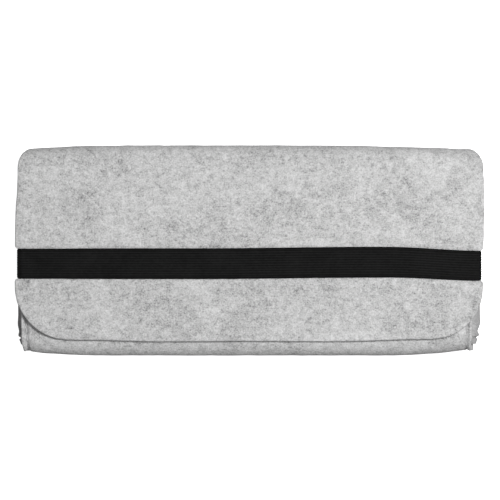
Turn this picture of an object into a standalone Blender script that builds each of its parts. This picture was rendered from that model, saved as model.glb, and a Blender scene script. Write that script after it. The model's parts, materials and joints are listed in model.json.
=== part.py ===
"""Soft felt glasses case with a fold-over flap and an elastic strap.

The case lies on its back: +X runs across its width, +Y towards the top fold and +Z out of its front.
One felt blank makes the front panel, the bottom fold, the back panel, the top wall and the flap.
Two felt gussets close the sides. Each is sewn to the blank with its raw edges turned outwards.
"""

import math

import bmesh
import bpy

# Driving dimensions, in metres
FELT = 0.0025  # thickness of the felt
GAP = 0.0003  # clearance between two pieces that touch
POUCH_DEPTH = 0.030  # front panel's outer face above the back panel's, at the side seams
POUCH_HALF_WIDTH = 0.0903  # raw edge of the side seams
BOTTOM_Y = -0.042
TOP_Y = 0.042
MOUTH_Y = 0.038  # free edge of the front panel and of the gussets
BOTTOM_RADIUS = 0.007  # outer radius of the two bends of the bottom fold

FLAP_HALF_WIDTH = 0.0938
FLAP_END_Y = -0.0366
FLAP_CORNER = 0.022  # radius of the flap's free corners
FLAP_SHOULDER = 0.005  # radius of the blank's corners at the top fold
FLAP_TAPER = 0.001  # how much narrower the flap is at its shoulders
FLAP_TAPER_Y = 0.010  # the taper begins here
WAIST_HALF_WIDTH = FLAP_HALF_WIDTH - FLAP_TAPER - FLAP_SHOULDER

CROWN = 0.0025  # height of the soft swell of the front and the flap
CROWN_HALF_WIDTH = 0.086
CROWN_LOW_Y = -0.032
CROWN_HIGH_Y = 0.035

SEAM_X = 0.0882  # line of the side seams' stitches
THREAD_RADIUS = 0.0003
THREAD_INSET = 0.0015  # from the mouth to the ends of the threads
GROOVE_DEPTH = 0.0011
GROOVE_HALF_WIDTH = 0.0006

WALL_BASE_X = 0.0864  # gusset wall's outer face where it leaves its flange
WALL_BULGE = 0.0042

STRAP_WIDTH = 0.012
STRAP_THICKNESS = 0.0012
STRAP_Y = -0.0052
STRAP_INNER_X = 0.0913  # inner face of the strap's side runs
STRAP_INNER_BEND = 0.0007
STRAP_SPLIT_Z = 0.0270  # where a side run meets the front run
STRAP_DENT_FADE = 0.002  # how far the dent in the flap's edge reaches past the strap
TAB_INNER_X = 0.0866
TACK_LENGTH = 0.009
TACK_INSET = 0.0010  # from the seam's stitches
POCKET_MARGIN = 0.002  # how far the cutter of the strap's pocket stands out of the felt

# Places that follow from them
MID_Z = POUCH_DEPTH / 2
HINGE_Y = TOP_Y - FELT / 2
LOWER_HINGE_Z = FELT / 2
UPPER_HINGE_Z = POUCH_DEPTH + GAP + FELT / 2
FLAP_INNER_Z = POUCH_DEPTH + GAP
HINGE_REACH = FELT / 2 + GAP  # from a fold's axis to the end of the panel that it carries
STRAP_INNER_Z = FLAP_INNER_Z + FELT + GAP
TAB_LOW_Z = FELT + GAP

FLAP_ROOT_SHARE = 0.3  # of the felt's thickness, from the fold's axis to the flap's flat part
WALL_END_LIFT = 0.004  # from the bottom bends to the end of the gusset wall's middle line
CROWN_COLUMNS = 16
BEND_STEPS = 7


def clear_scene():
    for obj in list(bpy.data.objects):
        bpy.data.objects.remove(obj, do_unlink=True)


def material(name, color, roughness):
    made = bpy.data.materials.new(name)
    made.use_nodes = True
    shader = made.node_tree.nodes["Principled BSDF"]
    shader.inputs["Base Color"].default_value = (*color, 1.0)
    shader.inputs["Roughness"].default_value = roughness
    shader.inputs["Metallic"].default_value = 0.0
    made.diffuse_color = (*color, 1.0)
    return made


def felt(name):
    return material(name + "_felt", (0.54, 0.54, 0.53), 0.95)


def elastic(name):
    return material(name + "_elastic", (0.012, 0.012, 0.013), 0.75)


def thread(name):
    return material(name + "_thread", (0.50, 0.50, 0.49), 0.8)


def strap_thread(name):
    return material(name + "_thread", (0.015, 0.015, 0.016), 0.8)


def finish(name, mesh_maker, finish_material, pivot=(0, 0, 0)):
    """Makes an object from a bmesh. Its origin is the pivot that it turns about."""
    bmesh.ops.recalc_face_normals(mesh_maker, faces=mesh_maker.faces)
    bmesh.ops.translate(mesh_maker, verts=mesh_maker.verts, vec=[-value for value in pivot])
    mesh = bpy.data.meshes.new(name)
    mesh_maker.to_mesh(mesh)
    mesh_maker.free()
    mesh.materials.append(finish_material)
    mesh.shade_smooth()
    mesh.set_sharp_from_angle(angle=math.radians(35))
    obj = bpy.data.objects.new(name, mesh)
    obj.location = pivot
    bpy.context.scene.collection.objects.link(obj)
    return obj


def loft(name, loops, finish_material, pivot=(0, 0, 0)):
    """A closed body through closed loops of the same number of points, capped at both ends."""
    made = bmesh.new()
    rings = [[made.verts.new(point) for point in loop] for loop in loops]
    for near, far in zip(rings, rings[1:]):
        for i in range(len(near)):
            j = (i + 1) % len(near)
            made.faces.new((near[i], near[j], far[j], far[i]))
    made.faces.new(rings[0])
    made.faces.new(reversed(rings[-1]))
    return finish(name, made, finish_material, pivot)


def box(name, low, high, finish_material):
    corners = [(low[0], low[1]), (high[0], low[1]), (high[0], high[1]), (low[0], high[1])]
    loops = [[(x, y, z) for x, y in corners] for z in (low[2], high[2])]
    return loft(name, loops, finish_material)


def tube(name, points, radius, finish_material):
    curve = bpy.data.curves.new(name, "CURVE")
    curve.dimensions = "3D"
    curve.bevel_depth = radius
    curve.bevel_resolution = 1
    curve.use_fill_caps = True
    spline = curve.splines.new("POLY")
    spline.points.add(len(points) - 1)
    for spot, point in zip(spline.points, points):
        spot.co = (*point, 1.0)
    curve.materials.append(finish_material)
    obj = bpy.data.objects.new(name, curve)
    bpy.context.scene.collection.objects.link(obj)
    return obj


def spread(low, high, count):
    return [low + (high - low) * i / count for i in range(count + 1)]


def smooth_step(value):
    value = min(max(value, 0.0), 1.0)
    return value * value * (3 - 2 * value)


def crown(x, y):
    """Swell of the front at a point: nothing at the side seams, the bottom bend and the top fold."""
    across = 1 - (x / CROWN_HALF_WIDTH) ** 2
    middle = (CROWN_LOW_Y + CROWN_HIGH_Y) / 2
    along = 1 - ((y - middle) / (CROWN_HIGH_Y - middle)) ** 2
    return CROWN * max(across, 0.0) * max(along, 0.0)


def bend(quarter, offset, start=0.0, stop=math.pi / 2):
    """(y, z) points round one bend of the bottom fold, at a distance inside the blank's outer face."""
    center_z = POUCH_DEPTH - BOTTOM_RADIUS if quarter == "front" else BOTTOM_RADIUS
    center_y = BOTTOM_Y + BOTTOM_RADIUS
    radius = BOTTOM_RADIUS - offset
    turns = spread(start, stop, BEND_STEPS)
    if quarter == "front":
        return [(center_y - radius * math.sin(a), center_z + radius * math.cos(a)) for a in turns]
    return [(center_y - radius * math.cos(a), center_z - radius * math.sin(a)) for a in turns]


def pouch_outline(offset, end_y, straight_steps=1):
    """(y, z) points down the front, round the bottom and up the back, inside the outer face."""
    bend_y = BOTTOM_Y + BOTTOM_RADIUS
    front = [(y, POUCH_DEPTH - offset) for y in spread(end_y, bend_y, straight_steps)]
    back = [(y, offset) for y in spread(bend_y, end_y, straight_steps)]
    return front[:-1] + bend("front", offset) + bend("back", offset) + back[1:]


def section(half_width, columns):
    """(x, depth) points round a panel's cross-section, with a groove for each seam's stitches."""
    groove = [
        (SEAM_X + GROOVE_HALF_WIDTH, 0.0),
        (SEAM_X + GROOVE_HALF_WIDTH, GROOVE_DEPTH),
        (SEAM_X - GROOVE_HALF_WIDTH, GROOVE_DEPTH),
        (SEAM_X - GROOVE_HALF_WIDTH, 0.0),
    ]
    middle = spread(-CROWN_HALF_WIDTH, CROWN_HALF_WIDTH, columns)
    outer = [(-half_width, 0.0)] + [(-x, depth) for x, depth in groove]
    outer += [(x, 0.0) for x in middle]
    outer += list(reversed(groove)) + [(half_width, 0.0)]
    inner = [(half_width, FELT)] + [(x, FELT) for x in reversed(middle)] + [(-half_width, FELT)]
    return outer + inner


def front_panel():
    loops = []
    for y in spread(MOUTH_Y, BOTTOM_Y + BOTTOM_RADIUS + GAP / 2, 9):
        profile = section(POUCH_HALF_WIDTH, CROWN_COLUMNS)
        loops.append([(x, y, POUCH_DEPTH - depth + crown(x, y)) for x, depth in profile])
    loft("front_panel", loops, felt("front_panel"))


def bottom_fold():
    profile = section(POUCH_HALF_WIDTH, 2)
    trim = GAP / 2 / BOTTOM_RADIUS
    outer = bend("front", 0.0, start=trim) + bend("back", 0.0, stop=math.pi / 2 - trim)
    inner = bend("front", FELT, start=trim) + bend("back", FELT, stop=math.pi / 2 - trim)
    loops = []
    for (outer_y, outer_z), (inner_y, inner_z) in zip(outer, inner):
        loop = []
        for x, depth in profile:
            part = depth / FELT
            y = outer_y + (inner_y - outer_y) * part
            z = outer_z + (inner_z - outer_z) * part
            loop.append((x, y, z))
        loops.append(loop)
    loft("bottom_fold", loops, felt("bottom_fold"))


def shoulder(y, waist, full):
    """Half-width of the blank beside the top fold, where a round shoulder leads into the waist."""
    part = min(max((y - TOP_Y + FLAP_SHOULDER) / FLAP_SHOULDER, 0.0), 1.0)
    return waist + (full - waist) * math.sqrt(1 - part * part)


def back_panel():
    shoulder_y = TOP_Y - FLAP_SHOULDER
    rows = [BOTTOM_Y + BOTTOM_RADIUS + GAP / 2, shoulder_y]
    rows += spread(shoulder_y, HINGE_Y - HINGE_REACH, 3)[1:]
    loops = []
    for y in rows:
        profile = section(shoulder(y, WAIST_HALF_WIDTH, POUCH_HALF_WIDTH), 2)
        loops.append([(x, y, depth) for x, depth in profile])
    loft("back_panel", loops, felt("back_panel"))


def bead(steps=4):
    """(reach past the axis, half thickness) round a panel's end, which turns about its own middle."""
    tip = 0.25 * FELT / 2
    turns = spread(0.0, math.pi / 2, steps)[:-1]
    radius = FELT / 2
    return [(radius * math.sin(a), radius * math.cos(a)) for a in turns] + [(radius, tip)]


def top_wall():
    """The wall's lower end is round about the lower fold's axis and lies on what the case lies on."""
    loops = []
    top_z = UPPER_HINGE_Z - HINGE_REACH
    for z in spread(top_z, LOWER_HINGE_Z + FELT, 3):
        loops.append(wall_loop(z, WAIST_HALF_WIDTH, FELT / 2))
    for reach, half in bead():
        spot_y = HINGE_Y + half
        half_width = shoulder(spot_y, WAIST_HALF_WIDTH, POUCH_HALF_WIDTH)
        loops.append(wall_loop(LOWER_HINGE_Z - reach, half_width, half))
    pivot = (0, HINGE_Y, LOWER_HINGE_Z)
    loft("top_wall", loops, felt("top_wall"), pivot)


def wall_loop(z, half_width, half_thickness):
    near, far = HINGE_Y - half_thickness, HINGE_Y + half_thickness
    return [(-half_width, near, z), (half_width, near, z), (half_width, far, z), (-half_width, far, z)]


def flap_half_width(y):
    """Half-width of the flap: round shoulders, a slight bow, the strap's dents and round corners."""
    shoulder_y = TOP_Y - FLAP_SHOULDER
    taper = FLAP_TAPER * smooth_step((y - FLAP_TAPER_Y) / (shoulder_y - FLAP_TAPER_Y))
    full = FLAP_HALF_WIDTH - taper
    if y > shoulder_y:
        return shoulder(y, WAIST_HALF_WIDTH, full)
    dent = FLAP_HALF_WIDTH - (STRAP_INNER_X - GAP)
    away = abs(y - STRAP_Y) - STRAP_WIDTH / 2 - GAP
    full -= dent * (1 - smooth_step(away / STRAP_DENT_FADE))
    below = FLAP_END_Y + FLAP_CORNER - y
    if below > 0:
        full -= FLAP_CORNER - math.sqrt(max(FLAP_CORNER**2 - below**2, 0.0))
    return full


def flap_rows():
    """Places along the flap, from its upper fold to its free end."""
    shoulder_y = TOP_Y - FLAP_SHOULDER
    strap_top = STRAP_Y + STRAP_WIDTH / 2 + GAP
    strap_bottom = STRAP_Y - STRAP_WIDTH / 2 - GAP
    rows = spread(HINGE_Y - FELT * FLAP_ROOT_SHARE, shoulder_y, 3)
    rows += spread(shoulder_y, strap_top + STRAP_DENT_FADE, 4)[1:]
    rows += [strap_top + STRAP_DENT_FADE / 2, strap_top, STRAP_Y, strap_bottom]
    rows += [strap_bottom - STRAP_DENT_FADE / 2, strap_bottom - STRAP_DENT_FADE]
    turns = spread(0.0, math.pi / 2, 9)[1:]
    rows += [FLAP_END_Y + FLAP_CORNER * (1 - math.sin(a)) for a in turns]
    return rows


def flap_loop(y, half_thickness):
    half_width = flap_half_width(y)
    middle = UPPER_HINGE_Z
    across = [half_width * t for t in spread(-1.0, 1.0, CROWN_COLUMNS)]
    outer = [(x, y, middle + half_thickness + crown(x, y)) for x in across]
    inner = [(x, y, middle - half_thickness + crown(x, y)) for x in reversed(across)]
    return outer + inner


def flap():
    """The flap's upper end is round about the upper fold's axis."""
    loops = [flap_loop(HINGE_Y + reach, half) for reach, half in reversed(bead())]
    loops += [flap_loop(y, FELT / 2) for y in flap_rows()]
    pivot = (0, HINGE_Y, UPPER_HINGE_Z)
    loft("flap", loops, felt("flap"), pivot)


def gusset(side, sign):
    """A felt strip with a flange round three sides and a wall that bulges out between them."""
    rim = pouch_outline(FELT + GAP, MOUTH_Y, 4)
    inner_rim = pouch_outline(2 * FELT + GAP, MOUTH_Y, 4)
    wall_steps = 5
    made = bmesh.new()
    rings = []
    for (rim_y, rim_z), (inner_y, inner_z) in zip(rim, inner_rim):
        center_y = max(inner_y, BOTTOM_Y + BOTTOM_RADIUS + WALL_END_LIFT)
        points = [(POUCH_HALF_WIDTH, rim_y, rim_z), (POUCH_HALF_WIDTH, inner_y, inner_z)]
        wall = []
        for part in spread(1.0, 0.0, wall_steps):
            y = center_y + (inner_y - center_y) * part
            z = MID_Z + (inner_z - MID_Z) * part
            swell = WALL_BULGE * 0.5 * (1 + math.cos(math.pi * part))
            wall.append((WALL_BASE_X + swell, y, z))
        points += wall
        points += [(x - FELT, y, z) for x, y, z in reversed(wall)]
        points += [(WALL_BASE_X - FELT, rim_y, rim_z)]
        rings.append([made.verts.new((sign * x, y, z)) for x, y, z in points])
    middle = 2 + wall_steps  # the pair of points on the wall's middle line, which isn't a face
    count = len(rings[0])
    for near, far in zip(rings, rings[1:]):
        for i in range(count):
            if i != middle:
                j = (i + 1) % count
                made.faces.new((near[i], near[j], far[j], far[i]))
    front, back = rings[0], rings[-1]
    made.faces.new(front[middle + 1:] + front[:middle + 1])
    made.faces.new(back[middle + 1:] + back[:middle + 1])
    bmesh.ops.remove_doubles(made, verts=made.verts, dist=1e-6)
    obj = finish(side + "_gusset", made, felt(side + "_gusset"))
    cut_strap_pocket(obj, side, sign)


def cut_strap_pocket(obj, side, sign):
    """Room in the back flange for the sewn end of the strap."""
    low_x, high_x = TAB_INNER_X - GAP, POUCH_HALF_WIDTH + POCKET_MARGIN
    xs = sorted((sign * low_x, sign * high_x))
    half = STRAP_WIDTH / 2 + GAP
    low = (xs[0], STRAP_Y - half, TAB_LOW_Z - POCKET_MARGIN / 2)
    high = (xs[1], STRAP_Y + half, TAB_LOW_Z + STRAP_THICKNESS + GAP)
    cutter = box(side + "_pocket_cutter", low, high, obj.data.materials[0])
    cutter.hide_render = True
    cutter.display_type = "WIRE"
    cut = obj.modifiers.new("strap_pocket", "BOOLEAN")
    cut.operation = "DIFFERENCE"
    cut.solver = "EXACT"
    cut.object = cutter


def seam_threads(side, sign):
    """The needle thread lies in the blank's groove, the bobbin thread against the gusset's flange."""
    end_y = MOUTH_Y - THREAD_INSET
    needle = pouch_outline(GROOVE_DEPTH / 2, end_y)
    points = [(sign * SEAM_X, y, z) for y, z in needle]
    tube(side + "_seam_thread", points, THREAD_RADIUS, thread(side + "_seam"))
    bobbin = pouch_outline(2 * FELT + 2 * GAP + THREAD_RADIUS, end_y)
    points = [(sign * (SEAM_X + GAP), y, z) for y, z in bobbin]
    tube(side + "_bobbin_thread", points, THREAD_RADIUS, thread(side + "_bobbin"))


def strap_end(side, sign):
    """The strap's end, caught between the back panel and the gusset, and the tack that holds it."""
    outer_x = STRAP_INNER_X + STRAP_THICKNESS
    xs = sorted((sign * TAB_INNER_X, sign * outer_x))
    low = (xs[0], STRAP_Y - STRAP_WIDTH / 2, TAB_LOW_Z)
    high = (xs[1], STRAP_Y + STRAP_WIDTH / 2, TAB_LOW_Z + STRAP_THICKNESS)
    box(side + "_strap_end", low, high, elastic(side + "_strap_end"))
    flange_z = 2 * FELT + 2 * GAP
    xs = sorted((sign * (SEAM_X + TACK_INSET), sign * POUCH_HALF_WIDTH))
    low = (xs[0], STRAP_Y - TACK_LENGTH / 2, flange_z)
    high = (xs[1], STRAP_Y + TACK_LENGTH / 2, flange_z + 2 * THREAD_RADIUS)
    box(side + "_strap_tack", low, high, strap_thread(side + "_tack"))


def band(name, path, pivot):
    """A strip of elastic along (x, z, outward x, outward z) stations of its inner face."""
    low, high = STRAP_Y - STRAP_WIDTH / 2, STRAP_Y + STRAP_WIDTH / 2
    loops = []
    for x, z, out_x, out_z in path:
        far_x, far_z = x + out_x * STRAP_THICKNESS, z + out_z * STRAP_THICKNESS
        loops.append([(x, low, z), (x, high, z), (far_x, high, far_z), (far_x, low, far_z)])
    return loft(name, loops, elastic(name), pivot)


def strap():
    """The strap in three runs. All of them swing about the line through the two sewn ends."""
    pivot = (0, STRAP_Y, TAB_LOW_Z + STRAP_THICKNESS / 2)
    bend_x = STRAP_INNER_X - STRAP_INNER_BEND
    bend_z = STRAP_INNER_Z - STRAP_INNER_BEND
    corner = []
    for a in spread(0.0, math.pi / 2, 4):
        out_x, out_z = math.cos(a), math.sin(a)
        spot = (bend_x + STRAP_INNER_BEND * out_x, bend_z + STRAP_INNER_BEND * out_z)
        corner.append((*spot, out_x, out_z))
    right = [(STRAP_INNER_X, STRAP_SPLIT_Z + GAP / 2, 1.0, 0.0)] + corner
    left = [(-x, z, -out_x, out_z) for x, z, out_x, out_z in reversed(right)]
    middle = []
    for x in spread(CROWN_HALF_WIDTH, -CROWN_HALF_WIDTH, CROWN_COLUMNS):
        middle.append((x, STRAP_INNER_Z + crown(x, STRAP_Y), 0.0, 1.0))
    band("strap_front", right + middle + left, pivot)
    low_z = TAB_LOW_Z + STRAP_THICKNESS + GAP
    for side, sign in (("left", -1), ("right", 1)):
        ends = (STRAP_SPLIT_Z - GAP / 2, low_z)
        band(side + "_strap_side", [(sign * STRAP_INNER_X, z, sign, 0.0) for z in ends], pivot)


def main():
    clear_scene()
    front_panel()
    bottom_fold()
    back_panel()
    top_wall()
    flap()
    for side, sign in (("left", -1), ("right", 1)):
        gusset(side, sign)
        seam_threads(side, sign)
        strap_end(side, sign)
    strap()


main()
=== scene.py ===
"""Looks of a soft felt glasses case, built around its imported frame. Metres, +Z out of the case's front."""

import math

import bmesh
import bpy
import numpy as np
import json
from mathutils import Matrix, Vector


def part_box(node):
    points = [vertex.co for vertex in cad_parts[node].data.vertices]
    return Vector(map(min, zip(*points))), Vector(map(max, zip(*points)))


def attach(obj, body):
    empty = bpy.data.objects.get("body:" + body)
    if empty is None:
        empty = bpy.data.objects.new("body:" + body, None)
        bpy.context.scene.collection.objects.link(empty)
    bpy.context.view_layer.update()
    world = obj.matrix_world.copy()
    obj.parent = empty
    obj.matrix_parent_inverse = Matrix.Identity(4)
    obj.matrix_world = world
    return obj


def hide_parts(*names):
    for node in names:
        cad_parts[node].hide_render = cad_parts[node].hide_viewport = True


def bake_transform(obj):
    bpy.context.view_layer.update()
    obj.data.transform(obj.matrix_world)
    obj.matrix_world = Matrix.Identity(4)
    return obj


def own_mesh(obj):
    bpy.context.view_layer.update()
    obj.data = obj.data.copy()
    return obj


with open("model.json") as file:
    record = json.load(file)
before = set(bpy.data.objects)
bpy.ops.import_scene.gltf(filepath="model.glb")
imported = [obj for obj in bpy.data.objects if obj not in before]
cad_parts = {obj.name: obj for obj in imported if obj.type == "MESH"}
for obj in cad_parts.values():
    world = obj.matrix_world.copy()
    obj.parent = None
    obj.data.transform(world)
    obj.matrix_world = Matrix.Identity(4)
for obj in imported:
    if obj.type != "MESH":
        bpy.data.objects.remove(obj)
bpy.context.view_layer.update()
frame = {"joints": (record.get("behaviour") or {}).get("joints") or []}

MM = 0.001
SIGNS = {"left": -1, "right": 1}  # of X


def joint_point(name):
    found = next(joint for joint in frame["joints"] if joint["name"] == name)
    return found["pos_m"]


# Sizes and places that the frame gives
FRONT_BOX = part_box("front_panel")
BACK_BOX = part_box("back_panel")
BOTTOM_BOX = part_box("bottom_fold")
FLAP_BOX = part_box("flap")
STRAP_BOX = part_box("strap_front")
SIDE_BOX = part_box("right_strap_side")
END_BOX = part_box("right_strap_end")
THREAD_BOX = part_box("right_seam_thread")

FELT = BACK_BOX[1].z - BACK_BOX[0].z
DEPTH = BOTTOM_BOX[1].z
LIP_X = FRONT_BOX[1].x
MOUTH_Y = FRONT_BOX[1].y
BOTTOM_Y = BOTTOM_BOX[0].y
BEND_Y = BOTTOM_BOX[1].y  # where the bottom fold's bends begin
BEND_RADIUS = BEND_Y - BOTTOM_Y
TOP_Y = FLAP_BOX[1].y
FLAP_END_Y = FLAP_BOX[0].y
HINGE_Y = joint_point("lower_fold")[1]
LOWER_Z = joint_point("lower_fold")[2]
UPPER_Z = joint_point("upper_fold")[2]
SEAM_X = (THREAD_BOX[0].x + THREAD_BOX[1].x) / 2
STRAP_Y = (STRAP_BOX[0].y + STRAP_BOX[1].y) / 2
STRAP_WIDTH = STRAP_BOX[1].y - STRAP_BOX[0].y
STRAP_INNER_X = SIDE_BOX[0].x
STRAP_THICK = SIDE_BOX[1].x - SIDE_BOX[0].x
STRAP_END_Z = (END_BOX[0].z + END_BOX[1].z) / 2

# Shape of the soft parts
FOLD_RADIUS = 4.2 * MM  # of the blank's middle layer, at the top wall's two bends
WALL_SPLIT_Z = (LOWER_Z + UPPER_Z) / 2
BACK_SPLIT_Y = 28 * MM
STRAP_SPLIT_Z = 15 * MM
WAIST_X = 88 * MM  # half-width of the blank at the top wall
SHOULDER = 7.5 * MM  # height of the round shoulders beside the top wall
CORNERS = (21.5 * MM, 20.5 * MM)  # radii of the flap's left and right free corners
END_BOW = 0.8 * MM  # how much lower the flap's end is in its middle
EDGE = 0.6 * MM  # rounding of a cut felt edge
BUTT_FADE = 3 * MM  # over this length the felt's unevenness fades out where two blanks meet
CROWN = 2.5 * MM  # how far the front swells out in its middle
CROWN_X = 86 * MM
CROWN_LOW_Y, CROWN_HIGH_Y = -32 * MM, 35 * MM
CROWN_WAVE = 0.25 * MM
CROWN_WAVE_SIZE = 34 * MM
SKEW = 1.4 * MM  # how far the pouch's front leans to the left
TOP_DROPS = (1.35 * MM, 1.6 * MM)  # how far the left and right ends of the top fold drop
BOTTOM_RISES = (1.8 * MM, 2.0 * MM)  # how far the left and right ends of the bottom fold rise
BOTTOM_SAG = 0.35 * MM
FLARES = (2.4 * MM, 2.5 * MM)  # how far the left and right raw edges flare beside the bottom fold
CORNER_DEPTHS = (2.7 * MM, 1.9 * MM)  # how far the left and right lower corners are rounded off
STRAP_STAND = (0.8 * MM, 0.2 * MM)  # how far the strap's left and right sides stand out from the CAD's
STRAP_PRESS = 0.3 * MM  # how deep the strap presses into the flap
PRESS_MARGIN = 0.2 * MM  # how far inside the strap's edges its pressed mark starts to fade
RIDGE = 0.12 * MM  # height of the felt that the strap pushes up beside itself
RIDGE_REACH = 5 * MM

# Unevenness of the felt, each as (height, size) layers
FELT_SWELLS = ((0.09 * MM, 5.5 * MM), (0.07 * MM, 2.6 * MM))
GUSSET_SWELLS = ((0.10 * MM, 6 * MM), (0.05 * MM, 2.5 * MM))
CUT_WOBBLES = ((0.10 * MM, 7 * MM), (0.06 * MM, 2.2 * MM))
EDGE_POWER = 8  # how steeply a cut edge's wobble fades away from the edge
RIGHT_NOISE_PLACE = 0.05  # gives the right edges their own stretch of the noise
FOLD_NOISE_PLACE = 1.0  # and the fold's edges theirs
HASH_FACTORS = (374761393, 668265263, 1274126177)  # large numbers that scramble whole ones
SEED_FACTOR = 362437


def smooth(value):
    value = np.clip(value, 0.0, 1.0)
    return value * value * (3 - 2 * value)


def above(value, start, over):
    """0 up to start, then rising smoothly to 1 over a length."""
    return smooth((value - start) / over)


def below(value, start, over):
    """0 down to start, then rising smoothly to 1 over a length."""
    return smooth((start - value) / over)


def hump(away, spread):
    """1 at no distance away, fading to 0 on both sides."""
    return np.exp(-((away / spread) ** 2))


def lattice(cell, seed):
    """A random number from -1 to 1 for each whole-number point."""
    cell = cell.astype(np.int64)
    mixed = sum(cell[..., i] * factor for i, factor in enumerate(HASH_FACTORS))
    mixed = (mixed + seed * SEED_FACTOR) & 0xFFFFFFFF
    mixed = ((mixed ^ (mixed >> 13)) * HASH_FACTORS[2]) & 0xFFFFFFFF
    mixed = (mixed ^ (mixed >> 16)) & 0xFFFF
    return mixed / 32767.5 - 1.0


def noise(points, size, seed=0):
    """Smooth noise from -1 to 1 at points, with swells of that size in metres."""
    scaled = np.asarray(points, float) / size
    low = np.floor(scaled)
    part = scaled - low
    part = part * part * (3 - 2 * part)
    total = np.zeros(scaled.shape[:-1])
    for corner in np.ndindex(2, 2, 2):
        step = np.array(corner)
        weight = np.prod(np.where(step == 1, part, 1 - part), axis=-1)
        total += weight * lattice(low + step, seed)
    return total


def surface_noise(x, y, size, seed=0):
    return noise(np.stack([x, y, np.zeros_like(x)], axis=-1), size, seed)


def layered_noise(points, layers, seed):
    """Sum of noises, one for each (height, size) layer."""
    return sum(height * noise(points, size, seed + i) for i, (height, size) in enumerate(layers))


def crown(x, y):
    """Soft swell of the front, which is zero at the side seams, the bottom bend and the top fold."""
    middle = (CROWN_LOW_Y + CROWN_HIGH_Y) / 2
    across = np.clip(1 - (x / CROWN_X) ** 2, 0, None)
    along = np.clip(1 - ((y - middle) / (CROWN_HIGH_Y - middle)) ** 2, 0, None)
    wave = CROWN_WAVE * surface_noise(x, y, CROWN_WAVE_SIZE, seed=3)
    return CROWN * across * along + wave * smooth(along * 3)


def strap_middle(x):
    """The strap's line: nearly straight, and lower at its right end."""
    rise = 0.6 * MM * above(x, start=-20 * MM, over=70 * MM)
    drop = 1.45 * MM * above(x, start=55 * MM, over=38 * MM)
    return STRAP_Y - 0.25 * MM + rise - drop


def under_strap(x, y, shoulder=1.6 * MM):
    """1 under the strap, fading to 0 over a shoulder at its edges."""
    away = np.abs(y - strap_middle(x)) - STRAP_WIDTH / 2 + PRESS_MARGIN
    return 1 - smooth(away / shoulder)


def top_bow(x):
    """How far the top fold drops towards its ends: steadily on the right, late on the left."""
    share = np.abs(x) / WAIST_X
    return np.where(x > 0, TOP_DROPS[1] * share**2.5, TOP_DROPS[0] * share**5)


def bow_top(points):
    """Moves points near the top fold down towards its ends."""
    bent = points.copy()
    weight = above(points[..., 1], start=12 * MM, over=22 * MM)
    bent[..., 1] -= top_bow(points[..., 0]) * weight
    return bent


def bottom_bow(x):
    """How far the bottom fold rises towards its ends. Its middle sags a little."""
    right = BOTTOM_RISES[1] * np.clip((x - 54 * MM) / (32 * MM), 0, 1) ** 2
    left = BOTTOM_RISES[0] * np.clip((-x - 56 * MM) / (33 * MM), 0, 1) ** 2
    return right + left - BOTTOM_SAG


def corner_inset(height, rise, depth):
    """How far a rounded corner lies inside its square one, at a height above the bottom."""
    part = np.clip(1 - height / rise, 0, 1)
    return depth * (1 - np.sqrt(1 - part * part))


def side_shift(points):
    """How far the sides move along X near the bottom.

    They flare half way down the case's depth, and the bottom's corners are round.
    """
    x, y, z = (points[..., i] for i in range(3))
    right = x > 0
    half_way = hump(z - 15 * MM, 9 * MM)
    flare = np.where(right, FLARES[1], FLARES[0]) * half_way * below(y, start=-33 * MM, over=3.5 * MM)
    height = y - BOTTOM_Y
    inset = corner_inset(height, 12 * MM, np.where(right, CORNER_DEPTHS[1], CORNER_DEPTHS[0]))
    inset = inset + corner_inset(height, 7 * MM, 2.2 * MM) * half_way
    return np.sign(x) * (flare - inset) * above(np.abs(x), start=80 * MM, over=10 * MM)


def soften_pouch(points):
    """Bends points of the pouch as the filled case bends: its front leans left and its bottom bows."""
    bent = bow_top(points)
    x, y, z = (points[..., i] for i in range(3))
    lean = above(z, start=3 * MM, over=DEPTH - 6 * MM)
    bent[..., 0] += side_shift(points) - SKEW * lean
    bent[..., 1] += bottom_bow(x) * below(y, start=-26 * MM, over=16 * MM)
    bent[..., 2] += crown(x, y) * above(z, start=0.6 * DEPTH, over=0.4 * DEPTH)
    return bent


def path_line(points):
    """(length along, points) of a line, for np.interp."""
    points = np.array(points)
    steps = np.linalg.norm(np.diff(points, axis=0), axis=1)
    return np.concatenate([[0], np.cumsum(steps)]), points


def arc(center, radius, start, stop, count=24):
    """Points round an arc in the (y, z) plane. Angle 0 points along +Y, and 90 along +Z."""
    turns = np.radians(np.linspace(start, stop, count))
    return [(center[0] + radius * math.cos(a), center[1] + radius * math.sin(a)) for a in turns]


def pouch_path(offset=FELT / 2, end_y=MOUTH_Y, back_y=BACK_SPLIT_Y):
    """(y, z) line down the front, round the bottom and up the back, inside the blank's outer face."""
    radius = BEND_RADIUS - offset
    line = [(end_y, DEPTH - offset)]
    line += arc((BEND_Y, DEPTH - BEND_RADIUS), radius, 90, 180)
    line += arc((BEND_Y, BEND_RADIUS), radius, 180, 270)
    line += [(back_y, offset)]
    return path_line(line)


def on_path(path, along):
    lengths, points = path
    return np.interp(along, lengths, points[:, 0]), np.interp(along, lengths, points[:, 1])


def stations(path, low, high, coarse, fine):
    """Places along a path, closer together where it bends."""
    lengths = path[0]
    bends = lengths[1:-1]
    places = [low]
    while places[-1] < high - fine * 0.6:
        near = np.abs(bends - places[-1]).min() if len(bends) else 1.0
        places.append(places[-1] + (fine if near < coarse else coarse))
    places[-1] = high
    return np.array(places)


# Meshes

RIM_STEPS = 3  # rings of points round each half of a cut edge


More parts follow.
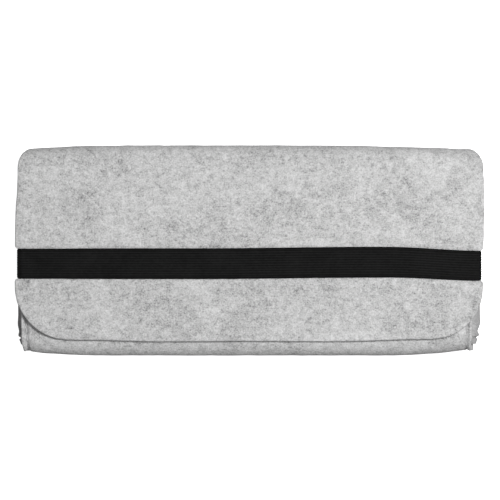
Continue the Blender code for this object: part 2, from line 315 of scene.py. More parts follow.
def mesh_object(name, points, faces, finish, sharp=40):
    """A smooth mesh. Its rest_place attribute keeps where each point is while the case lies closed."""
    mesh = bpy.data.meshes.new(name)
    mesh.from_pydata([tuple(p) for p in points], [], faces)
    made = bmesh.new()
    made.from_mesh(mesh)
    bmesh.ops.remove_doubles(made, verts=made.verts, dist=1e-7)
    bmesh.ops.recalc_face_normals(made, faces=made.faces)
    made.to_mesh(mesh)
    made.free()
    mesh.shade_smooth()
    mesh.set_sharp_from_angle(angle=math.radians(sharp))
    rest = vertex_places(mesh)
    mesh.attributes.new("rest_place", "FLOAT_VECTOR", "POINT").data.foreach_set("vector", rest.ravel())
    mesh.materials.append(finish)
    obj = bpy.data.objects.new(name, mesh)
    bpy.context.scene.collection.objects.link(obj)
    return obj


def vertex_places(mesh):
    places = np.zeros(len(mesh.vertices) * 3, np.float32)
    mesh.vertices.foreach_get("co", places)
    return places.reshape(-1, 3)


def unit(vectors):
    return vectors / np.maximum(np.linalg.norm(vectors, axis=-1, keepdims=True), 1e-12)


def grid_normals(middle):
    """Outward normals of a grid whose rows run along the blank and whose columns run along +X."""
    down, across = np.gradient(middle, axis=0), np.gradient(middle, axis=1)
    return unit(np.cross(down, across))


def rim_chains(rows, columns, butt):
    """Runs of border vertices that get a rounded edge, in order round the grid."""
    first = [(0, c) for c in range(columns)]
    right = [(r, columns - 1) for r in range(rows)]
    last = [(rows - 1, c) for c in reversed(range(columns))]
    left = [(r, 0) for r in reversed(range(rows))]
    if butt == ("first", "last"):
        return [(right, False), (left, False)]
    if butt == ("first",):
        return [(right + last[1:] + left[1:], False)]
    if butt == ("last",):
        return [(left + first[1:] + right[1:], False)]
    return [(first + right[1:] + last[1:] + left[1:-1], True)]


def grid_faces(rows, columns):
    """Quads of a sheet's two faces. The inner face's points come after the outer ones."""
    count = rows * columns
    faces = []
    for r in range(rows - 1):
        for c in range(columns - 1):
            a = r * columns + c
            b = a + columns
            faces.append((a, b, b + 1, a + 1))
            faces.append((count + a, count + a + 1, count + b + 1, count + b))
    return faces


def way_out(spots, up, closed):
    """Which way leads out of the sheet at each point of its border."""
    if closed:
        run = np.roll(spots, -1, axis=0) - np.roll(spots, 1, axis=0)
    else:
        run = np.gradient(spots, axis=0)
    return unit(np.cross(up, run))


def rim_rings(spots, up, away, outer_half, inner_half, edge):
    """Rings of points round a cut edge, from the sheet's outer face to its inner one."""
    turns = np.radians([90 * (1 - (k + 1) / RIM_STEPS) for k in range(RIM_STEPS)])
    rings = []
    for turn in turns:
        lift = outer_half[:, None] - edge + edge * math.sin(turn)
        rings.append(spots + away * edge * math.cos(turn) + up * lift)
    for turn in reversed(turns):
        lift = inner_half[:, None] - edge + edge * math.sin(turn)
        rings.append(spots + away * edge * math.cos(turn) - up * lift)
    return rings


def sheet_mesh(name, middle, outer_half, inner_half, finish, edge=EDGE, butt=()):
    """A closed sheet about a grid of middle points. The grid's border lies an edge radius inside the cut.

    butt names the rows, first or last, that meet the next sheet and are cut square.
    """
    rows, columns = middle.shape[:2]
    normal = grid_normals(middle)
    outer = middle + normal * outer_half[..., None]
    inner = middle - normal * inner_half[..., None]
    points = [outer.reshape(-1, 3), inner.reshape(-1, 3)]
    count = rows * columns
    faces = grid_faces(rows, columns)
    base = 2 * count
    square_ends = {}
    for chain, closed in rim_chains(rows, columns, butt):
        at = tuple(np.array(chain).T)
        away = way_out(middle[at], normal[at], closed)
        points += rim_rings(middle[at], normal[at], away, outer_half[at], inner_half[at], edge)
        size = len(chain)
        flat = [r * columns + c for r, c in chain]
        layers = [flat] + [[base + k * size + i for i in range(size)] for k in range(2 * RIM_STEPS)]
        layers.append([count + i for i in flat])
        for i in range(size if closed else size - 1):
            j = (i + 1) % size
            for near, far in zip(layers, layers[1:]):
                faces.append((near[i], far[i], far[j], near[j]))
        if not closed:
            for i in (0, size - 1):
                square_ends[chain[i]] = [layer[i] for layer in layers]
        base += 2 * RIM_STEPS * size
    for row in (0 if end == "first" else rows - 1 for end in butt):
        for c in range(columns - 1):
            a = row * columns + c
            faces.append((a, a + 1, count + a + 1, count + a))
        faces.append(tuple(square_ends[(row, 0)]))
        faces.append(tuple(square_ends[(row, columns - 1)]))
    return mesh_object(name, np.concatenate(points), faces, finish)


def columns_across(half_inner, coarse, fine, margin):
    """Places from -1 to 1 across a sheet, closer together in a margin beside each edge."""
    inner = half_inner - margin
    middle = np.linspace(-inner, inner, max(int(2 * inner / coarse), 2) + 1)
    side = np.linspace(inner, half_inner, int(margin / fine) + 1)[1:]
    return np.concatenate([-side[::-1], middle, side]) / half_inner


def grid_of(column, width):
    """A grid of that width. Each row repeats one value of the column."""
    return np.repeat(column[:, None], width, axis=1)


# Felt blank

LIP_SWELL = 0.22 * MM  # how much thicker the raw edge is outside the seam
INNER_SWELL = 0.6  # unevenness of the inner faces, as a share of the outer faces'
FLAP_INNER_SWELL = 0.5


def seam_dip(x):
    """How far the stitches pull the blank's outer face down: a narrow groove in a wide hollow."""
    away = np.abs(np.abs(x) - SEAM_X)
    return 0.9 * MM * hump(away, 0.7 * MM) + 0.15 * MM * hump(away, 2.4 * MM)


def felt_swell(middle, seed, fade):
    """Small unevenness of a felt face."""
    return layered_noise(middle, FELT_SWELLS, seed) * fade


def cut_wobble(x, along, share, seed):
    """A hand-cut edge isn't quite straight. The wobble fades away from the edge, where share is -1 or 1."""
    side = np.where(x > 0, RIGHT_NOISE_PLACE, 0.0)
    line = np.stack([side + 0 * along, along, 0 * along], axis=-1)
    return layered_noise(line, CUT_WOBBLES, seed) * np.abs(share) ** EDGE_POWER


def pouch_blank(finish):
    """The blank from the mouth down the front, round the bottom and up the back."""
    path = pouch_path()
    total = path[0][-1]
    along = stations(path, EDGE, total, coarse=1.5 * MM, fine=0.8 * MM)
    share = columns_across(LIP_X - EDGE, coarse=1.6 * MM, fine=0.3 * MM, margin=6.6 * MM)
    grid_s, grid_share = np.meshgrid(along, share, indexing="ij")
    grid_x = grid_share * (LIP_X - EDGE)
    grid_x = grid_x + cut_wobble(grid_x, grid_s, grid_share, seed=11)
    grid_y, grid_z = on_path(path, grid_s)
    middle = soften_pouch(np.stack([grid_x, grid_y, grid_z], axis=-1))
    fade = below(grid_s, start=total, over=BUTT_FADE)
    outer = FELT / 2 - seam_dip(grid_x) + felt_swell(middle, 21, fade)
    outer += LIP_SWELL * above(np.abs(grid_x) - SEAM_X, start=0.6 * MM, over=1.2 * MM) * fade
    inner = FELT / 2 + felt_swell(middle, 31, fade) * INNER_SWELL
    obj = sheet_mesh("pouch_blank", middle, outer, inner, finish, butt=("last",))
    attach(obj, "pouch")
    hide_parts("front_panel", "bottom_fold", "back_panel")


def shoulder_x(y, waist, full):
    """Half-width of the blank where it narrows round its shoulders."""
    part = np.clip((y - TOP_Y + SHOULDER) / SHOULDER, 0, 1)
    return waist + (full - waist) * np.sqrt(1 - part * part)


def outer_bend_y(path, along, start, stop):
    """Y of the blank's outer face round a path's one bend, which turns from a start to a stop angle."""
    bend = arc((HINGE_Y - FOLD_RADIUS, 0), FOLD_RADIUS + FELT / 2, start, stop)
    places = np.linspace(path[0][1], path[0][-2], len(bend))
    return np.interp(along, places, [y for y, _ in bend])


def fold_path():
    low = FELT / 2
    line = [(BACK_SPLIT_Y, low)]
    line += arc((HINGE_Y - FOLD_RADIUS, low + FOLD_RADIUS), FOLD_RADIUS, -90, 0)
    line += [(HINGE_Y, WALL_SPLIT_Z)]
    return path_line(line)


def fold_blank(finish):
    """The blank from the back panel, round the lower fold and half way up the top wall."""
    path = fold_path()
    total = path[0][-1]
    along = stations(path, 0.0, total, coarse=1.4 * MM, fine=0.6 * MM)
    y, z = on_path(path, along)
    outer_y = np.where(along < path[0][1], y, outer_bend_y(path, along, -90, 0))
    half = shoulder_x(outer_y, WAIST_X, LIP_X) - EDGE
    share = columns_across(LIP_X, coarse=1.6 * MM, fine=0.6 * MM, margin=6.6 * MM)
    grid_x = half[:, None] * share
    grid_s, grid_y, grid_z = (grid_of(column, len(share)) for column in (along, y, z))
    from_ends = smooth((total - grid_s) * grid_s / (20 * MM * MM))
    grid_x = grid_x + cut_wobble(grid_x, grid_s + FOLD_NOISE_PLACE, share, seed=12) * from_ends
    middle = bow_top(np.stack([grid_x, grid_y, grid_z], axis=-1))
    fade = above(grid_s, start=0, over=BUTT_FADE) * below(grid_s, start=total, over=BUTT_FADE)
    on_back = grid_z < 3 * MM
    dip = seam_dip(grid_x) * below(grid_y, start=MOUTH_Y, over=3 * MM) * on_back
    outer = FELT / 2 + felt_swell(middle, 22, fade) - dip
    inner = FELT / 2 + felt_swell(middle, 32, fade) * INNER_SWELL
    obj = sheet_mesh("fold_blank", middle, outer, inner, finish, butt=("first", "last"))
    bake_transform(obj)
    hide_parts("top_wall")


def flap_full_x(y, right):
    """Half-width of the flap, before its corners: bowed differently on its two sides."""
    if right:
        full = 93.2 * MM + 0.6 * MM * hump(y - 19 * MM, 13 * MM)
        return full - 0.2 * MM * below(y, start=-10 * MM, over=10 * MM)
    return 92.9 * MM + 1.05 * MM * below(y, start=32 * MM, over=26 * MM)


def flap_half_x(y, outer_y, right):
    """Half-width of the flap with its shoulders, the strap's dents and its free corners, less the edge."""
    full = flap_full_x(y, right)
    corner, stand = CORNERS[right], STRAP_STAND[right]
    edge_x = (1.0 if right else -1.0) * LIP_X + 0 * y
    press = under_strap(edge_x, y, 1.1 * MM)
    full = full * (1 - press) + np.minimum(full, STRAP_INNER_X + stand - 0.15 * MM) * press
    inset = corner - EDGE
    below = np.clip(FLAP_END_Y + END_BOW + corner - y, 0, inset)
    width = full - EDGE - (inset - np.sqrt(np.clip(inset**2 - below**2, 0, None)))
    top = shoulder_x(outer_y, WAIST_X, full) - EDGE
    return np.where(outer_y > TOP_Y - SHOULDER, top, width)


def flap_path():
    line = [(HINGE_Y, WALL_SPLIT_Z)]
    line += arc((HINGE_Y - FOLD_RADIUS, UPPER_Z - FOLD_RADIUS), FOLD_RADIUS, 0, 90)
    line += [(FLAP_END_Y + END_BOW + EDGE, UPPER_Z)]
    return path_line(line)


def flap_height(x, y):
    """How far the flap's middle layer stands above its plain place."""
    right = 0.6 * MM * above(x, start=88.5 * MM, over=6 * MM)
    left = 0.45 * MM * above(-x, start=90.5 * MM, over=4 * MM)
    end = 0.2 * MM * below(y, start=-30 * MM, over=7 * MM)
    pull = 0.25 * MM * under_strap(x, y, 9 * MM) * above(np.abs(x), start=60 * MM, over=30 * MM)
    return crown(x, y) - right - left - end - pull


def flap_places(path):
    """Stations along the flap, close together at the bend, at the strap and round the free corners."""
    total = path[0][-1]
    corner = max(CORNERS)
    straight = total - corner
    places = list(stations(path, 0.0, straight, coarse=1.5 * MM, fine=0.6 * MM))
    strap_at = total - (strap_middle(0.0) - FLAP_END_Y - END_BOW - EDGE)
    places = [p for p in places if abs(p - strap_at) > 9.5 * MM]
    places += list(np.arange(strap_at - 9.2 * MM, strap_at + 9.3 * MM, 0.45 * MM))
    turns = np.radians(np.linspace(0, 90, 30))[1:-1]
    places += [straight + (corner - EDGE) * math.sin(turn) for turn in turns] + [total]
    places = np.array(sorted(p for p in places if p <= total))
    places = places[np.concatenate([[True], np.diff(places) > 0.02 * MM])]
    places[-1] = total
    return places


def flap_widths(path, along):
    """Half-widths of the blank to the left and right of its middle, at places along the path."""
    y, _ = on_path(path, along)
    outer_y = np.where(along > path[0][-2], y, outer_bend_y(path, along, 0, 90))
    outer_y = np.where(along < path[0][1], TOP_Y, outer_y)
    return flap_half_x(y, outer_y, False), flap_half_x(y, outer_y, True)


def end_shift(x):
    """How far the flap's free end moves along Y: it waves slightly, and its middle hangs lowest."""
    wave = 0.2 * MM * surface_noise(x, 0 * x, 24 * MM, seed=41)
    return wave - END_BOW * (1 - above(np.abs(x), start=35 * MM, over=35 * MM))


def flap_blank(finish):
    """The blank from half way up the top wall, round the upper fold and down the front to its free end."""
    path = flap_path()
    along = flap_places(path)
    left, right = flap_widths(path, along)
    share = columns_across(FLAP_BOX[1].x, coarse=1.6 * MM, fine=0.6 * MM, margin=9 * MM)
    grid_x = -left[:, None] + (left + right)[:, None] * ((share + 1) / 2)
    grid_s, grid_y, grid_z = (grid_of(column, len(share)) for column in (along, *on_path(path, along)))
    wobble = cut_wobble(grid_x, grid_s, share, seed=13) * above(grid_s, start=0, over=6 * MM)
    grid_x = grid_x + wobble * np.sign(share)
    on_front = below(grid_y, start=HINGE_Y - FOLD_RADIUS, over=2 * MM)
    grid_z = grid_z + flap_height(grid_x, grid_y) * on_front
    grid_y = grid_y + end_shift(grid_x) * below(grid_y, start=-20 * MM, over=15 * MM)
    middle = bow_top(np.stack([grid_x, grid_y, grid_z], axis=-1))
    fade = above(grid_s, start=0, over=BUTT_FADE)
    pressed = under_strap(grid_x, grid_y) * on_front
    ridge = under_strap(grid_x, grid_y, RIDGE_REACH) * (1 - pressed) * on_front
    outer = FELT / 2 - STRAP_PRESS * pressed + felt_swell(middle, 23, fade) * (1 - 0.7 * pressed)
    outer += RIDGE * ridge
    inner = FELT / 2 + felt_swell(middle, 33, fade) * FLAP_INNER_SWELL
    obj = sheet_mesh("flap_blank", middle, outer, inner, finish, butt=("first",))
    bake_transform(obj)
    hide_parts("flap")


# Gussets

FLANGE_NEAR = FELT + 0.15 * MM  # offset of the flange's two faces inside the blank's outer face
FLANGE_FAR = FLANGE_NEAR + FELT
FLANGE_EDGE = 0.4 * MM  # rounding of the flange's cut edge
FLANGE_BEND = 1.6 * MM  # inner radius where the flange turns into the wall
WALL_START = FLANGE_FAR + 0.7 * MM
WALL_X = 86.5 * MM
WALL_STEPS = 17
WALL_MIDDLE_Z = DEPTH / 2 + 1.5 * MM
WALL_MIDDLE_END_Y = -30 * MM  # the wall's middle line ends here, and below it the dome closes round
MOUTH_BOW = 1.6 * MM  # how far the middle of the gusset's free end reaches up under the top wall
# Left and right dome: its height in the lower half and under the strap, and how much lower the bottom is
DOMES = ((3.9 * MM, 2.6 * MM, 1.9 * MM), (4.9 * MM, 2.9 * MM, 2.4 * MM))
UPPER_DOME = 3.0 * MM


def beside_bottom(y):
    return below(y, start=-29 * MM, over=5 * MM)


def beside_mouth(y):
    return above(y, start=20 * MM, over=18 * MM)


def gusset_bulge(y, place, right):
    """How far the gusset's wall domes out at a share of the way from its middle line to its flange.

    The dome is pressed in under the strap, lower at the mouth and at the bottom, and squarest at the bottom.
    """
    full, pressed, low = DOMES[right]
    strap = 1 - above(np.abs(y - STRAP_Y), start=6.5 * MM, over=11 * MM)
    upper = above(y, start=STRAP_Y, over=20 * MM)
    height = full * (1 - upper) + UPPER_DOME * upper
    height = height * (1 - strap) + pressed * strap
    height = height - 0.9 * MM * beside_mouth(y) - low * beside_bottom(y)
    squareness = 2.4 + 4.1 * below(y, start=-26 * MM, over=6 * MM)
    return height * (1 - place**squareness) ** 0.9


def base_lift(y):
    """How far the wall's base lies outside WALL_X: not at all at the mouth, and furthest at the bottom."""
    return 2.0 * MM * (1 - beside_mouth(y)) + 1.2 * MM * beside_bottom(y)


def gusset_section():
    """(kind, x, place) round the gusset's section, from the rim of its flange.

    An offset point's place is its depth inside the blank. A wall point's is its share of the way from the
    wall's middle line to the flange.
    """
    rim = [(LIP_X - 0.35 * MM, 0), (LIP_X - 0.12 * MM, 0.12 * MM), (LIP_X, FLANGE_EDGE)]
    section = [("offset", x, FLANGE_NEAR + depth) for x, depth in rim]
    section += [("offset", x, FLANGE_FAR - depth) for x, depth in reversed(rim)]
    section += [("offset", x, FLANGE_FAR) for x in np.linspace(LIP_X - 1.1 * MM, WALL_X + 0.9 * MM, 5)]
    section += [("offset", WALL_X + 0.35 * MM, FLANGE_FAR + 0.12 * MM)]
    section += [("offset", WALL_X + 0.08 * MM, FLANGE_FAR + 0.4 * MM)]
    shares = np.sin(np.linspace(math.pi / 2, 0, WALL_STEPS))
    section += [("wall", WALL_X, share) for share in shares]
    section += [("wall", WALL_X - FELT, share) for share in reversed(shares)]
    turn = (WALL_X - FELT + FLANGE_BEND, FLANGE_NEAR + FLANGE_BEND)
    section += [("offset", x, offset) for x, offset in arc(turn, FLANGE_BEND, 180, 270, 5)]
    section += [("offset", x, FLANGE_NEAR) for x in np.linspace(WALL_X, LIP_X - 1.1 * MM, 5)]
    return section


def gusset_outlines(section):
    """{offset: (y, z)} of the U-shaped outlines that the points of the section run along.

    The places are the same on the front and the back arm, so that the wall's two halves meet.
    """
    base = pouch_path(FLANGE_NEAR, MOUTH_Y, MOUTH_Y)
    total = base[0][-1]
    front = stations(base, 0.0, total / 2, coarse=1.6 * MM, fine=0.7 * MM)
    along = np.concatenate([front, total - front[-2::-1]])
    found = {}
    for offset in {place for kind, _, place in section if kind == "offset"} | {WALL_START}:
        line = pouch_path(offset, MOUTH_Y, MOUTH_Y)
        found[offset] = on_path(line, np.interp(along, base[0], line[0]))
    return found


def wall_points(x, place, outline, right):
    """(x, y, z) of one line of the domed wall, along the whole gusset."""
    y, z = outline
    middle_y = np.maximum(y, WALL_MIDDLE_END_Y)
    y = middle_y + (y - middle_y) * place
    z = WALL_MIDDLE_Z + (z - WALL_MIDDLE_Z) * place
    x = x + gusset_bulge(y, place, right) + base_lift(y)
    y = y + MOUTH_BOW * (1 - place**2) * above(y, start=30 * MM, over=8 * MM)
    return x, y, z


def flange_points(x, offset, outline, sign):
    """(x, y, z) of one line of the flange. It gives way to the strap's sewn end on the back."""
    y, z = outline
    x = x + base_lift(y) * np.clip((LIP_X - x) / (LIP_X - WALL_X), 0, 1)
    at_strap = under_strap(sign * LIP_X + 0 * y, y, 2.5 * MM) * (z < DEPTH / 2)
    nearness = np.clip((FLANGE_FAR - offset) / FELT, 0, 1)
    z = z + at_strap * (0.3 * MM + 1.0 * MM * nearness)
    return x, y, z


def gusset_rings(section, sign):
    """A grid of points: each row is the section at one station from the front mouth to the back one."""
    outlines = gusset_outlines(section)
    rings = np.zeros((len(outlines[WALL_START][0]), len(section), 3))
    for i, (kind, x, place) in enumerate(section):
        if kind == "wall":
            x, y, z = wall_points(x, place, outlines[WALL_START], sign > 0)
        else:
            x, y, z = flange_points(x, place, outlines[place], sign)
        rings[:, i] = np.stack([sign * x + 0 * y, y, z], axis=-1)
    rings = soften_pouch(rings)
    rings[..., 0] += layered_noise(rings, GUSSET_SWELLS, seed=51)
    return rings


def gusset_faces(section, count):
    """Quads between the rings. The section is open at its middle line, where the wall's two halves meet."""
    size = len(section)
    first_wall = next(i for i, (kind, _, _) in enumerate(section) if kind == "wall")
    open_at = first_wall + WALL_STEPS - 1
    faces = []
    for r in range(count - 1):
        for i in range(size):
            if i != open_at:
                j = (i + 1) % size
                faces.append((r * size + i, (r + 1) * size + i, (r + 1) * size + j, r * size + j))
    for start in (0, (count - 1) * size):
        faces.append(tuple(range(start, start + size)))
    return faces


def gusset(side, finish):
    """One side of the case: a felt strip, folded out at the seam and domed between its flanges."""
    sign = SIGNS[side]
    section = gusset_section()
    rings = gusset_rings(section, sign)
    faces = gusset_faces(section, len(rings))
    obj = mesh_object(f"{side}_gusset_side", rings.reshape(-1, 3), faces, finish)
    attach(obj, "pouch")
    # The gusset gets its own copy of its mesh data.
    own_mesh(obj)
    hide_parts(f"{side}_gusset")


# Strap

STRAP_RIBS = 12
RIB_HEIGHT = 0.19 * MM
STRAP_EDGE = 0.25 * MM  # rounding of its edges
STRAP_TURN = 1.9 * MM  # radius of its middle layer at its four turns
STRAP_SPREAD = 0.13 * MM  # how much wider each half of it is in the middle of the front
STRAP_GAP = 0.12 * MM  # between it and the pressed felt
SELVAGE = 0.09  # width of each selvage, as a share of half the strap
SELVAGE_THICKNESS = 0.72  # as a share of the strap's
PICK_HEIGHT = 0.02 * MM
PICK_PITCH = 1.8 * MM


def strap_line():
    """(x, z) path of the strap's middle layer from its left sewn end, and where its two roots end on it."""
    left_x, right_x = (STRAP_INNER_X + stand + STRAP_THICK / 2 for stand in STRAP_STAND)
    left_turn_x, right_turn_x = STRAP_TURN - left_x, right_x - STRAP_TURN
    root_z = STRAP_END_Z + STRAP_TURN
    xs = np.linspace(left_turn_x, right_turn_x, 120)
    heights = strap_height(xs)
    left = [(-END_BOX[0].x, STRAP_END_Z)]
    left += arc((left_turn_x, root_z), STRAP_TURN, -90, -180, 8)
    left += [(-left_x, STRAP_SPLIT_Z)]
    run = arc((left_turn_x, heights[0] - STRAP_TURN), STRAP_TURN, 180, 90, 10)
    run += list(zip(xs[1:-1], heights[1:-1]))
    run += arc((right_turn_x, heights[-1] - STRAP_TURN), STRAP_TURN, 90, 0, 10)
    right = [(right_x, STRAP_SPLIT_Z)]
    right += arc((right_turn_x, root_z), STRAP_TURN, 0, -90, 8)
    right += [(END_BOX[0].x, STRAP_END_Z)]
    path = path_line(left + run + right)
    return path, path[0][len(left) - 1], path[0][len(left + run)]


def strap_height(x):
    """Height of the strap's middle layer where it lies on the pressed flap."""
    felt_top = UPPER_Z + flap_height(x, strap_middle(x)) + FELT / 2 - STRAP_PRESS
    return felt_top + STRAP_THICK / 2 + STRAP_GAP


def strap_thickness(across, along):
    """Half the strap's thickness: ribs along it, fine picks across it and thin selvages."""
    rib = np.sqrt(0.5 - 0.5 * np.cos(math.pi * STRAP_RIBS * (across + 1)))
    inside = smooth((1 - np.abs(across)) / SELVAGE)
    thick = STRAP_THICK / 2 - RIB_HEIGHT * (1 - rib)
    picks = PICK_HEIGHT * np.sin(2 * math.pi * along / PICK_PITCH)[:, None]
    return thick * (SELVAGE_THICKNESS + (1 - SELVAGE_THICKNESS) * inside) + picks * inside


def strap_piece(name, path, low, high, butt, finish):
    """A length of ribbed elastic between two places along the strap."""
    across = np.linspace(1, -1, STRAP_RIBS * 6 + 1)
    along = np.append(np.arange(low, high - 0.3 * MM, 0.9 * MM), high)
    x, z = (column[:, None] for column in on_path(path, along))
    middle_y = strap_middle(x)
    half = STRAP_WIDTH / 2 - STRAP_EDGE + STRAP_SPREAD * (1 - above(np.abs(x), start=45 * MM, over=45 * MM))
    grid_x, grid_y = x + 0 * across, middle_y + half * across
    # The front run follows the flap's swell across its own width as well as along it.
    on_front = above(z, start=strap_height(x) - 1.0 * MM, over=0.9 * MM)
    tilt = flap_height(grid_x, grid_y) - flap_height(grid_x, middle_y + 0 * across)
    middle = np.stack([grid_x, grid_y, z + tilt * on_front], axis=-1)
    thick = strap_thickness(across, along)
    obj = sheet_mesh(name, middle, thick, thick, finish, edge=STRAP_EDGE, butt=butt)
    mark_strap_share(obj.data)
    return obj


def mark_strap_share(mesh):
    """Keeps each point's place across the strap, from -1 to 1, for the painted highlight and shade of the
    ribs.
    """
    places = vertex_places(mesh)
    shares = (places[:, 1] - strap_middle(places[:, 0])) / (STRAP_WIDTH / 2)
    attribute = mesh.attributes.new("strap_share", "FLOAT", "POINT")
    attribute.data.foreach_set("value", shares.astype(np.float32))


def strap(finish):
    """The strap in three lengths: two roots that turn at the seams and the run that stretches."""
    path, left_cut, right_cut = strap_line()
    roots = {
        "left": strap_piece("left_strap_root", path, 0.0, left_cut, ("last",), finish),
        "right": strap_piece("right_strap_root", path, right_cut, path[0][-1], ("first",), finish),
    }
    for side, root in roots.items():
        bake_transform(root)
        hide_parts(side + "_strap_end", side + "_strap_side")
    run = strap_piece("strap_run", path, left_cut, right_cut, ("first", "last"), finish)
    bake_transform(run)
    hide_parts("strap_front")


# Stitches

STITCH_PITCH = 3.3 * MM
STITCH_LENGTH = 2.75 * MM
STITCH_RADIUS = 0.26 * MM
NEEDLE_LIFT = 0.475 * MM  # how far the needle threads lie outside the felt's middle layer
TACK_RADIUS = 0.24 * MM
TACK_POINTS = 19
THREAD_ENDS = [(0.0, 0.35), (0.12, 0.8), (0.3, 1.0), (0.7, 1.0), (0.88, 0.8), (1.0, 0.35)]  # (place, width)
THREAD_SIDES = 8


def capsules(name, starts, ends, radius, finish):
    """Short round-ended threads, from each start to each end."""
    points, faces = [], []
    for start, end in zip(starts, ends):
        start, end = np.array(start), np.array(end)
        run = unit(end - start)
        side = unit(np.cross(run, (0.31, 0.87, 0.38)))  # across the run, from a direction that no run has
        up = np.cross(side, run)
        base = len(points)
        for share, width in THREAD_ENDS:
            center = start + (end - start) * share
            for k in range(THREAD_SIDES):
                turn = 2 * math.pi * k / THREAD_SIDES
                points.append(center + radius * width * (side * math.cos(turn) + up * math.sin(turn)))
        faces += tube_faces(base, len(THREAD_ENDS), THREAD_SIDES)
    return mesh_object(name, points, faces, finish, sharp=80)


def tube_faces(base, rings, sides):
    """Faces of a closed tube whose rings of points start at a base index."""
    faces = []
    for r in range(rings - 1):
        a, b = base + r * sides, base + (r + 1) * sides
        for k in range(sides):
            j = (k + 1) % sides
            faces.append((a + k, a + j, b + j, b + k))
    top = base + (rings - 1) * sides
    faces.append(tuple(base + k for k in reversed(range(sides))))
    faces.append(tuple(top + k for k in range(sides)))
    return faces


def stitch_point(path, at, x, lift):
    """The end of a stitch at a place along a seam, lifted out of the felt."""
    y, z = on_path(path, at)
    near_y, near_z = on_path(path, at - 0.2 * MM)
    run = unit(np.array([y - near_y, z - near_z]))
    return soften_pouch(np.array([x, y + run[1] * lift, z - run[0] * lift]))


def seam_stitches(side, finish):
    """Needle and bobbin stitches of a side seam, sunk in the felt that they pull together."""
    rows = (
        ("seam_stitches", "seam_thread", FELT / 2, NEEDLE_LIFT, SEAM_X),
        ("bobbin_stitches", "bobbin_thread", FLANGE_FAR + 0.22 * MM, 0.0, SEAM_X + 0.8 * MM),
    )
    for name, node, offset, lift, x in rows:
        path = pouch_path(offset, MOUTH_Y - 2 * MM, MOUTH_Y - 2 * MM)
        starts = np.arange(1.5 * MM, path[0][-1] - STITCH_PITCH, STITCH_PITCH)
        near, far = (
            [stitch_point(path, at, SIGNS[side] * x, lift) for at in places]
            for places in (starts, starts + STITCH_LENGTH)
        )
        obj = capsules(f"{side}_{name}", near, far, STITCH_RADIUS, finish)
        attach(obj, "pouch")
        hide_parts(f"{side}_{node}")


def strap_tack(side, finish):
    """A zigzag of black thread through the flange, over the strap's sewn end."""
    low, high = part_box(f"{side}_strap_tack")
    near, far = sorted((abs(low.x), abs(high.x)))
    spots = []
    for i, y in enumerate(np.linspace(low.y, high.y, TACK_POINTS)):
        spots.append((SIGNS[side] * (near if i % 2 else far), y, low.z + 0.25 * MM))
    spots = soften_pouch(np.array(spots))
    obj = capsules(f"{side}_tack_stitches", spots[:-1], spots[1:], TACK_RADIUS, finish)
    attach(obj, "pouch")
    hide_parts(f"{side}_strap_tack")


# Materials

MIX_A, MIX_B, MIX_RESULT = 6, 7, 2  # sockets of a Mix node that mixes colours
FELT_LEVELS = [(0.355, 0.10), (0.475, 0.33), (0.555, 0.465), (0.655, 0.585), (0.795, 0.70)]  # (noise, grey)


class Nodes:
    """A material's node tree with short ways to add and join nodes."""

    def __init__(self, name):
        self.material = bpy.data.materials.new(name)
        self.material.use_nodes = True
        self.tree = self.material.node_tree
        self.shader = self.tree.nodes["Principled BSDF"]

    def add(self, kind, inputs=(), **settings):
        node = self.tree.nodes.new("ShaderNode" + kind)
        for key, value in settings.items():
            setattr(node, key, value)
        for key, value in dict(inputs).items():
            if isinstance(value, bpy.types.NodeSocket):
                self.tree.links.new(value, node.inputs[key])
            else:
                node.inputs[key].default_value = value
        return node

    def math(self, operation, a, b=0.0):
        return self.add("Math", {0: a, 1: b}, operation=operation).outputs[0]

    def weighted(self, parts):
        """Sum of values, each times its share."""
        total = None
        for value, share in parts:
            part = self.math("MULTIPLY", value, share)
            total = part if total is None else self.math("ADD", total, part)
        return total

    def place(self):
        """Where a point of the felt was when the case lay closed, in metres."""
        return self.add("Attribute", attribute_name="rest_place").outputs["Vector"]

    def noise(self, place, scale, detail=2.0, roughness=0.5, distortion=0.0):
        inputs = {"Vector": place, "Scale": scale, "Detail": detail}
        inputs |= {"Roughness": roughness, "Distortion": distortion}
        return self.add("TexNoise", inputs).outputs["Fac"]

    def ramp(self, value, stops):
        """Grey levels for a value: stops are (value, level)."""
        node = self.add("ValToRGB", {"Fac": value})
        while len(node.color_ramp.elements) < len(stops):
            node.color_ramp.elements.new(0.5)
        for element, (at, level) in zip(node.color_ramp.elements, stops):
            element.position = at
            element.color = (level, level, level, 1.0)
        return node.outputs["Color"]

    def join(self, output, socket):
        self.tree.links.new(output, self.shader.inputs[socket])

    def set(self, **values):
        """Sets the shader's own sockets. An underscore stands for a space."""
        for name, value in values.items():
            self.shader.inputs[name.replace("_", " ")].default_value = value

    def bump(self, height, strength, distance):
        node = self.add("Bump", {"Height": height, "Strength": strength, "Distance": distance})
        self.join(node.outputs[0], "Normal")


